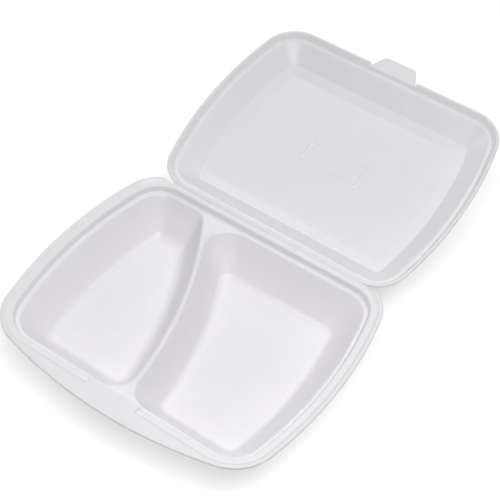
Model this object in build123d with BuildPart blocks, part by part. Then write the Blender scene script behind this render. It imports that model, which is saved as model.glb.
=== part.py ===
from build123d import *
from math import atan2, cos, hypot, radians, sin, sqrt, tan
import os

# Hinged foam meal box, standing open. All lengths are millimetres.
# Both halves are drawn from the hinge's crease outwards and from the rim line downwards.

# Rim line: the seat round the mouth where the lid meets the base
rim_width = 198.6
rim_depth = 181.4
side_bow = 13.2
back_corner_radius = 25.6
front_corner_radius = 28.8
hinge_reach = 2.6
hinge_edge = 1.0
seat_inset = 1.6
seat_round = 1.2
ledge_inset = 5.9
ledge_drop = 4.9
step_inset = 3.2
step_round = 1.2
shoulder_round = 2.2

# Base: two wells with a curved divider, and a raised flange that widens into a lip at the front
seat_height = 34.0
base_wall = 3.0
seat_reach = 2.9
flange_width = 7.4
flange_rise = 1.5
flange_lean = 2.0
flange_thickness = 2.2
flange_round = 0.9
riser_round = 1.2
lip_reach = 10.1
well_lean_share = 0.0982
left_divider_lean_share = 0.6
right_divider_lean_share = 0.8
floor_corner_radius = 6.0
floor_divider_radius = 10.0
left_floor_round = 10.0
right_floor_round = 6.0
base_foot_round = 6.0
divider_back_share = -0.2553
divider_front_share = 0.0186
divider_bow = 11.9
divider_width = 3.0
left_well_back_radius = 8.0
right_well_back_radius = 19.0
well_front_radius = 17.0

# Lid: a shallow tray with a bevelled border round its panel, a framed field and a locking tongue
lid_angle = 11.5
lid_wall = 1.7
lid_depth = 18.0
lid_rim_width = 2.0
lid_rim_land = 2.2
lid_rim_round = 0.8
lid_lean_share = 0.078
panel_corner_radius = 6.0
panel_round = 1.5
panel_inset = 1.2
border_width = 8.0
border_sink = 1.2
frame_length = 54.0
frame_height = 23.0
frame_line = 3.0
frame_lean = 1.0
frame_rise = 0.5
frame_corner_radius = 4.0
tongue_root_width = 40.0
tongue_tip_width = 28.0
tongue_length = 13.5
tongue_corner_radius = 4.0

# Hinge: the thin strip that joins base and lid, creased along its middle
hinge_length = 176.0
hinge_thickness = 0.8
hinge_sink = 0.5
crease_groove = 0.4

# Fits
closed_gap = 0.3
tongue_clearance = 1.0
overrun = 20.0
level_slack = 0.01

# Circle of each bowed side, and of the divider's middle line; the divider keeps its share of the width
rim_front = hinge_reach + rim_depth
rim_middle = hinge_reach + rim_depth / 2
side_radius = (rim_depth**2 / 4 + side_bow**2) / (2 * side_bow)
side_centre = rim_width / 2 + side_bow - side_radius
ledge_back = hinge_reach + ledge_inset
ledge_front = rim_front - ledge_inset
divider_back_offset = divider_back_share * rim_width
divider_front_offset = divider_front_share * rim_width
divider_run = divider_front_offset - divider_back_offset
divider_depth = ledge_front - ledge_back
divider_chord = hypot(divider_run, divider_depth)
divider_radius = (divider_chord**2 / 4 + divider_bow**2) / (2 * divider_bow)
divider_reach = (divider_radius - divider_bow) / divider_chord
divider_centre_x = (divider_back_offset + divider_front_offset) / 2 - divider_depth * divider_reach
divider_centre_y = (ledge_back + ledge_front) / 2 + divider_run * divider_reach

# Circle of the lip, which runs smoothly out of the flange's two front corners
front_centre_y = rim_front - front_corner_radius
front_centre_fall = front_centre_y - rim_middle
front_centre_x = side_centre + sqrt((side_radius - front_corner_radius) ** 2 - front_centre_fall**2)
front_reach = rim_front + flange_width + lip_reach
flange_corner_radius = front_corner_radius + flange_width
lip_rise = front_reach - front_centre_y
lip_radius = (front_centre_x**2 + lip_rise**2 - flange_corner_radius**2) / (2 * lip_reach)
lip_centre_y = front_reach - lip_radius
lip_end_share = lip_radius / (lip_radius - flange_corner_radius)
lip_end_x = front_centre_x * lip_end_share
lip_end_y = lip_centre_y + (front_centre_y - lip_centre_y) * lip_end_share

# Walls lean at one angle, so their outer faces lie one wall's thickness away from the inner ones
well_depth = seat_height - base_wall
well_lean = well_lean_share * rim_width
well_slope = atan2(well_lean, well_depth - ledge_drop)
well_skin = base_wall / cos(well_slope)
well_foot_lean = well_lean + base_wall * tan(well_slope) - well_skin
lid_lean = lid_lean_share * rim_width
lid_slope = atan2(lid_lean, lid_depth - ledge_drop)
lid_skin = lid_wall / cos(lid_slope)
lid_foot_lean = lid_lean + lid_wall * tan(lid_slope) - lid_skin

# The base's lip fills the seat under the tongue, and the lid's rim is cut back to clear it
lip_bridge_width = tongue_root_width + 2 * tongue_clearance
tongue_gap_width = lip_bridge_width + 2 * tongue_clearance
tongue_drop = flange_rise + closed_gap
tongue_reach = rim_front + tongue_length

# Planes: x along the hinge, y away from its crease, z down from the rim line
lid_turn = radians(lid_angle)
back_reach = tongue_reach * cos(lid_turn) + (tongue_drop + lid_wall + closed_gap / 2) * sin(lid_turn)
hinge_y = (front_reach - back_reach) / 2
hinge_point = Vector(0, hinge_y, seat_height + closed_gap / 2)
base_plane = Plane(origin=hinge_point, x_dir=(1, 0, 0), z_dir=(0, 0, -1)).offset(closed_gap / 2)
lid_down = (0, sin(lid_turn), -cos(lid_turn))
lid_plane = Plane(origin=hinge_point, x_dir=(-1, 0, 0), z_dir=lid_down).offset(closed_gap / 2)


def side_edge(inset):
    """Right-hand bowed side of the rim line, moved inwards: its x at a distance from the crease."""
    return lambda y: side_centre + sqrt((side_radius - inset) ** 2 - (y - rim_middle) ** 2)


def divider_edge(shift):
    """The divider's middle line, moved to the right: its x at a distance from the crease."""
    return lambda y: divider_centre_x + sqrt((divider_radius + shift) ** 2 - (y - divider_centre_y) ** 2)


def four_sided(left, right, back, front, radii):
    """Face between two bowed sides, with straight back and front edges and rounded corners."""
    middle = (back + front) / 2
    corners = [
        Vector(left(back), back),
        Vector(right(back), back),
        Vector(right(front), front),
        Vector(left(front), front),
    ]
    with BuildSketch() as face:
        with BuildLine():
            Line(corners[0], corners[1])
            ThreePointArc(corners[1], (right(middle), middle), corners[2])
            Line(corners[2], corners[3])
            ThreePointArc(corners[3], (left(middle), middle), corners[0])
        make_face()
        for corner, radius in zip(corners, radii):
            fillet(face.vertices().sort_by_distance(corner)[0], radius)
    return face.sketch


def rim_outline(inset, back_inset=None):
    """The rim line moved inwards by an inset (outwards if negative); the hinge side may have its own."""
    right = side_edge(inset)
    back = hinge_reach + (inset if back_inset is None else back_inset)
    back_radius = back_corner_radius - inset
    front_radius = front_corner_radius - inset
    radii = (back_radius, back_radius, front_radius, front_radius)
    return four_sided(lambda y: -right(y), right, back, rim_front - inset, radii)


def well_outlines(lean, radii):
    """Left and right well at one level, where the walls have leaned in by a given amount."""
    side = side_edge(ledge_inset + lean)
    left_edge = divider_edge(-divider_width / 2 - lean * left_divider_lean_share)
    right_edge = divider_edge(divider_width / 2 + lean * right_divider_lean_share)
    back = ledge_back + lean
    front = ledge_front - lean
    left = four_sided(lambda y: -side(y), left_edge, back, front, radii[0])
    right = four_sided(right_edge, side, back, front, radii[1])
    return left, right


def panel_outline(lean, radius):
    """The lid's tray at one level, where its walls have leaned in by a given amount."""
    side = side_edge(ledge_inset + lean)
    return four_sided(lambda y: -side(y), side, ledge_back + lean, ledge_front - lean, [radius] * 4)


def frame_outline(inset):
    """The frame on the lid's panel, moved inwards by an inset."""
    with BuildSketch() as face:
        with Locations((0, rim_middle)):
            RectangleRounded(frame_length - 2 * inset, frame_height - 2 * inset, frame_corner_radius - inset)
    return face.sketch


def level_faces(piece, plane, depth):
    """Faces of a piece that lie level at a depth below the rim line, the largest first."""
    level = plane.offset(depth)
    flat = piece.faces().filter_by(level)
    near = flat.filter_by(lambda face: abs(level.to_local_coords(face.center()).Z) < level_slack)
    return near.sort_by(SortBy.AREA, reverse=True)


def inner_edges(face):
    """Edges round the holes of a face."""
    return [edge for wire in face.inner_wires() for edge in wire.edges()]


# Corner radii of the wells, in the order back left, back right, front right, front left
ledge_back_radius = back_corner_radius - ledge_inset
ledge_front_radius = front_corner_radius - ledge_inset
ledge_radii = (
    (ledge_back_radius, left_well_back_radius, well_front_radius, ledge_front_radius),
    (right_well_back_radius, ledge_back_radius, ledge_front_radius, well_front_radius),
)
skin_radii = tuple(tuple(radius + well_skin for radius in well) for well in ledge_radii)
floor_radii = (
    (floor_corner_radius, floor_divider_radius, floor_divider_radius, floor_corner_radius),
    (floor_corner_radius,) * 4,
)
foot_radii = tuple(tuple(radius + base_wall for radius in well) for well in floor_radii)

# Outlines of the lid's border, where it leaves the walls and where it meets the panel
border = panel_outline(lid_lean + panel_inset, panel_corner_radius)
panel = panel_outline(lid_lean + panel_inset + border_width, panel_corner_radius)

# Base tray
with BuildPart() as base_tray:
    # Raised flange with the lip at its front
    with BuildSketch(base_plane.offset(-flange_rise)):
        add(rim_outline(-flange_width))
        with BuildLine():
            lip = ThreePointArc((-lip_end_x, lip_end_y), (0, front_reach), (lip_end_x, lip_end_y))
            Polyline(lip @ 1, (front_centre_x, front_centre_y), (-front_centre_x, front_centre_y), lip @ 0)
        make_face()
    extrude(amount=flange_thickness)
    fillet(level_faces(base_tray, base_plane, -flange_rise)[0].edges(), flange_round)
    fillet(level_faces(base_tray, base_plane, flange_thickness - flange_rise)[0].edges(), flange_round)
    # Seat and ledge from below
    with BuildSketch(base_plane):
        add(rim_outline(-seat_reach - flange_thickness))
    extrude(amount=flange_thickness)
    with BuildSketch(base_plane):
        add(rim_outline(step_inset - base_wall))
    extrude(amount=ledge_drop + base_wall)
    # Recess from the flange down to the seat and on to the ledge
    with BuildSketch(base_plane.offset(-flange_rise)):
        add(rim_outline(-seat_reach - flange_lean))
    with BuildSketch(base_plane):
        add(rim_outline(-seat_reach))
    loft(ruled=True, mode=Mode.SUBTRACT)
    with BuildSketch(base_plane):
        add(rim_outline(seat_inset))
    with BuildSketch(base_plane.offset(ledge_drop)):
        add(rim_outline(step_inset))
    loft(ruled=True, mode=Mode.SUBTRACT)
    fillet(level_faces(base_tray, base_plane, 0)[0].outer_wire().edges(), riser_round)
    # Straight cut along the hinge
    with BuildSketch(base_plane.offset(-flange_rise)):
        with Locations((0, hinge_edge)):
            Rectangle(2 * rim_width, overrun, align=(Align.CENTER, Align.MAX))
    extrude(amount=flange_rise + flange_thickness, mode=Mode.SUBTRACT)
    # Wells from outside
    for top, foot in zip(well_outlines(-well_skin, skin_radii), well_outlines(well_foot_lean, foot_radii)):
        with BuildSketch(base_plane.offset(ledge_drop)):
            add(top)
        with BuildSketch(base_plane.offset(seat_height)):
            add(foot)
        loft(ruled=True)
    for foot in level_faces(base_tray, base_plane, seat_height):
        fillet(foot.edges(), base_foot_round)
    # Wells from inside
    for top, floor in zip(well_outlines(0, ledge_radii), well_outlines(well_lean, floor_radii)):
        with BuildSketch(base_plane.offset(ledge_drop)):
            add(top)
        with BuildSketch(base_plane.offset(well_depth)):
            add(floor)
        loft(ruled=True, mode=Mode.SUBTRACT)
    # Soft edges: well floors, shoulders into the wells, foot and head of the step
    floors = level_faces(base_tray, base_plane, well_depth)[:2].sort_by(Axis.X)
    for floor, floor_round in zip(floors, (left_floor_round, right_floor_round)):
        fillet(floor.edges(), floor_round)
    fillet(inner_edges(level_faces(base_tray, base_plane, ledge_drop)[0]), shoulder_round)
    fillet(level_faces(base_tray, base_plane, ledge_drop)[0].outer_wire().edges(), step_round)
    fillet(inner_edges(level_faces(base_tray, base_plane, 0)[0]), seat_round)
    # Bridge of the lip across the seat, under the lid's tongue
    with BuildSketch(base_plane.offset(-flange_rise)):
        with Locations((0, rim_front - seat_inset)):
            bridge_length = seat_inset + seat_reach + flange_lean
            Rectangle(lip_bridge_width, bridge_length, align=(Align.CENTER, Align.MIN))
    extrude(amount=flange_rise + seat_round)
    bridge_ends = level_faces(base_tray, base_plane, -flange_rise)[0].edges().filter_by(Axis.Y)
    fillet(bridge_ends, flange_round)

# Lid with its tongue
with BuildPart() as lid:
    # Rim with rounded edges, sloping down to the ledge, and the straight cut along the hinge
    with BuildSketch(lid_plane):
        add(rim_outline(-lid_rim_width))
    extrude(amount=lid_wall)
    fillet(level_faces(lid, lid_plane, 0)[0].edges(), lid_rim_round)
    fillet(level_faces(lid, lid_plane, lid_wall)[0].edges(), lid_rim_round)
    with BuildSketch(lid_plane.offset(lid_wall)):
        add(rim_outline(-lid_rim_width / 2))
    with BuildSketch(lid_plane.offset(ledge_drop + lid_wall)):
        add(rim_outline(step_inset - lid_wall))
    loft(ruled=True)
    with BuildSketch(lid_plane):
        with Locations((0, hinge_edge)):
            Rectangle(2 * rim_width, overrun, align=(Align.CENTER, Align.MAX))
    extrude(amount=ledge_drop, mode=Mode.SUBTRACT)
    # Tray from outside
    with BuildSketch(lid_plane.offset(ledge_drop)):
        add(panel_outline(-lid_skin, ledge_back_radius + lid_skin))
    with BuildSketch(lid_plane.offset(lid_depth + lid_wall)):
        add(panel_outline(lid_foot_lean, panel_corner_radius + lid_wall))
    loft(ruled=True)
    fillet(level_faces(lid, lid_plane, lid_depth + lid_wall)[0].edges(), panel_round + lid_wall)
    with BuildSketch(lid_plane.offset(lid_depth + lid_wall)):
        add(border)
    with BuildSketch(lid_plane.offset(lid_depth + border_sink + lid_wall)):
        add(panel)
    loft(ruled=True)
    # Recess and tray from inside
    with BuildSketch(lid_plane):
        add(rim_outline(lid_rim_land - lid_rim_width, seat_inset))
    with BuildSketch(lid_plane.offset(ledge_drop)):
        add(rim_outline(step_inset))
    loft(ruled=True, mode=Mode.SUBTRACT)
    with BuildSketch(lid_plane.offset(ledge_drop)):
        add(panel_outline(0, ledge_back_radius))
    with BuildSketch(lid_plane.offset(lid_depth)):
        add(panel_outline(lid_lean, panel_corner_radius))
    loft(ruled=True, mode=Mode.SUBTRACT)
    # Soft edges: foot of the tray's walls, shoulder, foot of the step, rim
    fillet(level_faces(lid, lid_plane, lid_depth)[0].edges(), panel_round)
    fillet(inner_edges(level_faces(lid, lid_plane, ledge_drop)[0]), shoulder_round)
    fillet(level_faces(lid, lid_plane, ledge_drop)[0].outer_wire().edges(), step_round)
    fillet(inner_edges(level_faces(lid, lid_plane, 0)[0]), lid_rim_round)
    # Bevelled border down to the panel, with a plain raised frame in its middle
    with BuildSketch(lid_plane.offset(lid_depth)):
        add(border)
    with BuildSketch(lid_plane.offset(lid_depth + border_sink)):
        add(panel)
    loft(ruled=True, mode=Mode.SUBTRACT)
    panel_plane = lid_plane.offset(lid_depth + border_sink)
    with BuildSketch(panel_plane):
        add(frame_outline(0))
    with BuildSketch(panel_plane.offset(-frame_rise)):
        add(frame_outline(frame_lean))
    loft(ruled=True)
    with BuildSketch(panel_plane.offset(-frame_rise)):
        add(frame_outline(frame_line - frame_lean))
    with BuildSketch(panel_plane):
        add(frame_outline(frame_line))
    loft(ruled=True, mode=Mode.SUBTRACT)
    # Rim cut back over the base's bridge, and the tongue below it
    with BuildSketch(lid_plane):
        with Locations((0, rim_front - step_inset)):
            Rectangle(tongue_gap_width, overrun, align=(Align.CENTER, Align.MIN))
    extrude(amount=tongue_drop, mode=Mode.SUBTRACT)
    with BuildSketch(lid_plane.offset(tongue_drop)):
        with BuildLine():
            Polyline(
                (-tongue_root_width / 2, rim_front),
                (-tongue_root_width / 2, rim_front + lid_rim_width),
                (-tongue_tip_width / 2, tongue_reach),
                (tongue_tip_width / 2, tongue_reach),
                (tongue_root_width / 2, rim_front + lid_rim_width),
                (tongue_root_width / 2, rim_front),
                close=True,
            )
        tongue = make_face()
        fillet(tongue.vertices().group_by(Axis.Y)[-1], tongue_corner_radius)
    extrude(amount=lid_wall)

# Hinge strip from the base's cut edge to the lid's, thinned by a groove along the crease
hinge_foot = hinge_sink + hinge_thickness
crease_top = hinge_point - Vector(0, 0, closed_gap / 2 + hinge_sink + crease_groove)
crease_foot = hinge_point - Vector(0, 0, closed_gap / 2 + hinge_foot)
hinge_points = [
    base_plane.from_local_coords(Vector(0, hinge_edge, hinge_sink)),
    crease_top,
    lid_plane.from_local_coords(Vector(0, hinge_edge, hinge_sink)),
    lid_plane.from_local_coords(Vector(0, hinge_edge, hinge_foot)),
    crease_foot,
    base_plane.from_local_coords(Vector(0, hinge_edge, hinge_foot)),
]
with BuildPart() as living_hinge:
    with BuildSketch(Plane.YZ):
        with BuildLine():
            Polyline(*[(point.Y, point.Z) for point in hinge_points], close=True)
        make_face()
    extrude(amount=hinge_length / 2, both=True)

os.makedirs("parts", exist_ok=True)
for piece, label in ((base_tray, "base_tray"), (lid, "lid"), (living_hinge, "living_hinge")):
    piece.part.label = label
    export_step(piece.part, f"parts/{label}.step")
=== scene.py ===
from math import cos, exp, radians, sin

import bpy
from mathutils import Matrix, Vector


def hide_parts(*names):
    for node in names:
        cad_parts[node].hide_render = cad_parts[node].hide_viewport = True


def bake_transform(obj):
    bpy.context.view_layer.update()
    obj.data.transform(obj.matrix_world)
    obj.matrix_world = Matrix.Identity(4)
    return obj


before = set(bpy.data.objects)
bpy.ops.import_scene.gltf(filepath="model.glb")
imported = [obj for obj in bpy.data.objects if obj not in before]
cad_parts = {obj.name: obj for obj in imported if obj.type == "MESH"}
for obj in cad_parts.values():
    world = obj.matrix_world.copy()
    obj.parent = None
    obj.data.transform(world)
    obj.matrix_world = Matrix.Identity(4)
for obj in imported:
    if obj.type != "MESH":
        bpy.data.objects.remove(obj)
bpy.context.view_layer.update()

# Base tray: the lower half of the formed foam sheet, with two wells, a curved divider, the seat for the lid
# and a raised flange. The sheet is foamed polystyrene drawn warm over a mould, so its skin is a satin white,
# faintly clouded, and pebbled by the cells under it.
satin_roughness = 0.3
plastic_ior = 1.6
foam_skin = bpy.data.materials.new("foam_skin")
foam_skin.use_nodes = True
nodes = foam_skin.node_tree.nodes
links = foam_skin.node_tree.links
skin = nodes["Principled BSDF"]
skin.inputs["Roughness"].default_value = satin_roughness
skin.inputs["IOR"].default_value = plastic_ior
place = nodes.new("ShaderNodeTexCoord")

clouds_per_metre = 55
cloud_detail = 3
cloud_roughness = 0.55
cloud_span_shares = (0.3, 0.7)
cloud_tones = ((0.836, 0.821, 0.843, 1), (0.852, 0.837, 0.859, 1))
clouds = nodes.new("ShaderNodeTexNoise")
clouds.inputs["Scale"].default_value = clouds_per_metre
clouds.inputs["Detail"].default_value = cloud_detail
clouds.inputs["Roughness"].default_value = cloud_roughness
links.new(place.outputs["Object"], clouds.inputs["Vector"])
tint = nodes.new("ShaderNodeValToRGB")
for stop, share, tone in zip(tint.color_ramp.elements, cloud_span_shares, cloud_tones):
    stop.position = share
    stop.color = tone
links.new(clouds.outputs["Fac"], tint.inputs["Fac"])
links.new(tint.outputs["Color"], skin.inputs["Base Color"])

cells_per_metre = 1300
pebble_depth = 0.0002
pebble_strength = 0.12
cells = nodes.new("ShaderNodeTexVoronoi")
cells.inputs["Scale"].default_value = cells_per_metre
links.new(place.outputs["Object"], cells.inputs["Vector"])
pebble = nodes.new("ShaderNodeBump")
pebble.inputs["Strength"].default_value = pebble_strength
pebble.inputs["Distance"].default_value = pebble_depth
links.new(cells.outputs["Distance"], pebble.inputs["Height"])

sway_depth = 0.002
sway_strength = 0.04
sway = nodes.new("ShaderNodeBump")
sway.inputs["Strength"].default_value = sway_strength
sway.inputs["Distance"].default_value = sway_depth
links.new(clouds.outputs["Fac"], sway.inputs["Height"])
links.new(pebble.outputs["Normal"], sway.inputs["Normal"])
links.new(sway.outputs["Normal"], skin.inputs["Normal"])
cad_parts["base_tray"].data.materials[0] = foam_skin

# Lid: the upper half of the same sheet, a shallow tray with a bevelled border, a plain framed field and the
# tongue that tucks over the base's lip. It is formed in the same stroke, so it has the same skin.
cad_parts["lid"].data.materials[0] = foam_skin

# Hinge: the strip of sheet between the two halves, pressed thin and creased along its middle so that it
# folds without tearing. It runs from the base's edge on one side to the lid's edge on the other.
hair = 0.0001
strip_points = [vertex.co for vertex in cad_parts["living_hinge"].data.vertices]
hinge_length = max(point.x for point in strip_points) - min(point.x for point in strip_points)
base_side = min(point.y for point in strip_points)
base_heights = [point.z for point in strip_points if point.y < base_side + hair]
base_edge = Vector((0, base_side, max(base_heights)))
lid_side_top = max(strip_points, key=lambda point: point.z)
lid_edge = Vector((0, lid_side_top.y, lid_side_top.z))
strip_thickness = max(base_heights) - min(base_heights)
groove_depth = 0.0005
groove_place_share = 0.5
groove_width_share = 0.16
strip_steps = 24
strip_top = []
strip_foot = []
for step in range(strip_steps + 1):
    share = step / strip_steps
    flat = base_edge.lerp(lid_edge, share)
    groove = groove_depth * exp(-(((share - groove_place_share) / groove_width_share) ** 2))
    strip_top.append((flat.y, flat.z - groove))
    strip_foot.append((flat.y, flat.z - strip_thickness))
ring = strip_top + strip_foot[::-1]
ring_size = len(ring)
corners = [(side * hinge_length / 2, y, z) for side in (-1, 1) for y, z in ring]
walls = [(i, (i + 1) % ring_size, ring_size + (i + 1) % ring_size, ring_size + i) for i in range(ring_size)]
ends = [tuple(reversed(range(ring_size))), tuple(range(ring_size, 2 * ring_size))]
strip_mesh = bpy.data.meshes.new("hinge_strip")
strip_mesh.from_pydata(corners, [], walls + ends)
hinge_strip = bpy.data.objects.new("hinge_strip", strip_mesh)
bpy.context.scene.collection.objects.link(hinge_strip)
strip_mesh.materials.append(foam_skin)
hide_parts("living_hinge")
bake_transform(hinge_strip)

# Floor: a plain white table top that runs out of sight, a hair under the box's feet.
# The camera and the glossy foam see it lifted to white, and it still takes the box's soft shadow.
floor_half = 3.0
floor_drop = 0.0001
table_grey = (0.9, 0.9, 0.9, 1)
table_roughness = 0.9
floor_mesh = bpy.data.meshes.new("floor")
floor_sides = ((-1, -1), (1, -1), (1, 1), (-1, 1))
floor_corners = [(x * floor_half, y * floor_half, -floor_drop) for x, y in floor_sides]
floor_mesh.from_pydata(floor_corners, [], [(0, 1, 2, 3)])
floor = bpy.data.objects.new("floor", floor_mesh)
bpy.context.scene.collection.objects.link(floor)
table_top = bpy.data.materials.new("table_top")
table_top.use_nodes = True
table_tree = table_top.node_tree
table = table_tree.nodes["Principled BSDF"]
table.inputs["Base Color"].default_value = table_grey
table.inputs["Roughness"].default_value = table_roughness

# The gradient falls from 1 under the box to 0 a metre away, where the floor is pure white
shadow_share = 0.55
near_glow = (0.47, 0.47, 0.47, 1)
far_glow = (1, 1, 1, 1)
table_place = table_tree.nodes.new("ShaderNodeTexCoord")
nearness = table_tree.nodes.new("ShaderNodeTexGradient")
nearness.gradient_type = "SPHERICAL"
table_tree.links.new(table_place.outputs["Object"], nearness.inputs["Vector"])
glow = table_tree.nodes.new("ShaderNodeValToRGB")
glow.color_ramp.elements[0].color = far_glow
glow.color_ramp.elements[1].position = shadow_share
glow.color_ramp.elements[1].color = near_glow
table_tree.links.new(nearness.outputs["Fac"], glow.inputs["Fac"])
table_tree.links.new(glow.outputs["Color"], table.inputs["Emission Color"])


def shows_background(tree):
    """A socket that is 1 for rays that see plain white and 0 for rays that light the box."""
    path = tree.nodes.new("ShaderNodeLightPath")
    direct = tree.nodes.new("ShaderNodeMath")
    direct.operation = "MAXIMUM"
    tree.links.new(path.outputs["Is Camera Ray"], direct.inputs[0])
    tree.links.new(path.outputs["Is Glossy Ray"], direct.inputs[1])
    every = tree.nodes.new("ShaderNodeMath")
    every.operation = "MAXIMUM"
    tree.links.new(direct.outputs["Value"], every.inputs[0])
    tree.links.new(path.outputs["Is Transmission Ray"], every.inputs[1])
    return every.outputs["Value"]


table_tree.links.new(shows_background(table_tree), table.inputs["Emission Strength"])
floor_mesh.materials.append(table_top)

# Light: a white studio all round. A lamp hangs near over the front right of the box, and far softboxes stand
# to its right, behind it and to its left.
white = (1, 1, 1, 1)
sky_strength = 0.1
world = bpy.data.worlds.new("studio")
bpy.context.scene.world = world
world.use_nodes = True
studio = world.node_tree
sky = studio.nodes["Background"]
sky.inputs["Color"].default_value = white
sky.inputs["Strength"].default_value = sky_strength
backdrop = studio.nodes.new("ShaderNodeBackground")
backdrop.inputs["Color"].default_value = white
backdrop.inputs["Strength"].default_value = 1
either = studio.nodes.new("ShaderNodeMixShader")
studio.links.new(shows_background(studio), either.inputs["Fac"])
studio.links.new(sky.outputs["Background"], either.inputs[1])
studio.links.new(backdrop.outputs["Background"], either.inputs[2])
studio.links.new(either.outputs["Shader"], studio.nodes["World Output"].inputs["Surface"])

box_middle = Vector((0, 0, 0.03))


def hang_lamp(name, spot, size, power):
    """A round lamp at a spot, turned to the middle of the box and hidden from the camera."""
    lamp_data = bpy.data.lights.new(name, "AREA")
    lamp_data.shape = "DISK"
    lamp_data.size = size
    lamp_data.energy = power
    lamp = bpy.data.objects.new(name, lamp_data)
    way = (Vector(spot) - box_middle).normalized()
    lamp.matrix_world = Matrix.Translation(spot) @ way.to_track_quat("Z", "Y").to_matrix().to_4x4()
    lamp.visible_camera = False
    bpy.context.scene.collection.objects.link(lamp)


front_lamp_size = 0.6
softbox_size = 0.9
hang_lamp("front_lamp", (0.105, -0.208, 0.58), front_lamp_size, power=2.4)
hang_lamp("right_softbox", (0.586, 0.338, 1.48), softbox_size, power=3.4)
hang_lamp("back_right_softbox", (0.566, 0.98, 1.161), softbox_size, power=0.9)
hang_lamp("back_left_softbox", (-0.566, 0.98, 1.161), softbox_size, power=2.7)
hang_lamp("left_softbox", (-1.45, 0, 0.706), softbox_size, power=2.4)

# Camera: looks down on the open box from its front right, a little rolled, as in the photograph.
# Its place and its lens come from a fit to the rim lines of the box.
azimuth = radians(30.22)
elevation = radians(47.57)
roll = radians(5.41)
distance = 0.9331
target = Vector((-0.00054, -0.01804, 0.034))
image_side = 500
focal_pixels = 1261.6
sensor_width = 36
back = Vector((sin(azimuth) * cos(elevation), -cos(azimuth) * cos(elevation), sin(elevation)))
right = Vector((cos(azimuth), sin(azimuth), 0))
up = back.cross(right)
rolled_right = right * cos(roll) + up * sin(roll)
rolled_up = up * cos(roll) - right * sin(roll)
camera_data = bpy.data.cameras.new("camera")
camera_data.sensor_width = sensor_width
camera_data.lens = focal_pixels / image_side * sensor_width
camera = bpy.data.objects.new("camera", camera_data)
turn = Matrix((rolled_right, rolled_up, back)).transposed().to_4x4()
camera.matrix_world = Matrix.Translation(target + back * distance) @ turn
bpy.context.scene.collection.objects.link(camera)
bpy.context.scene.camera = camera
bpy.context.scene.view_settings.view_transform = "Standard"
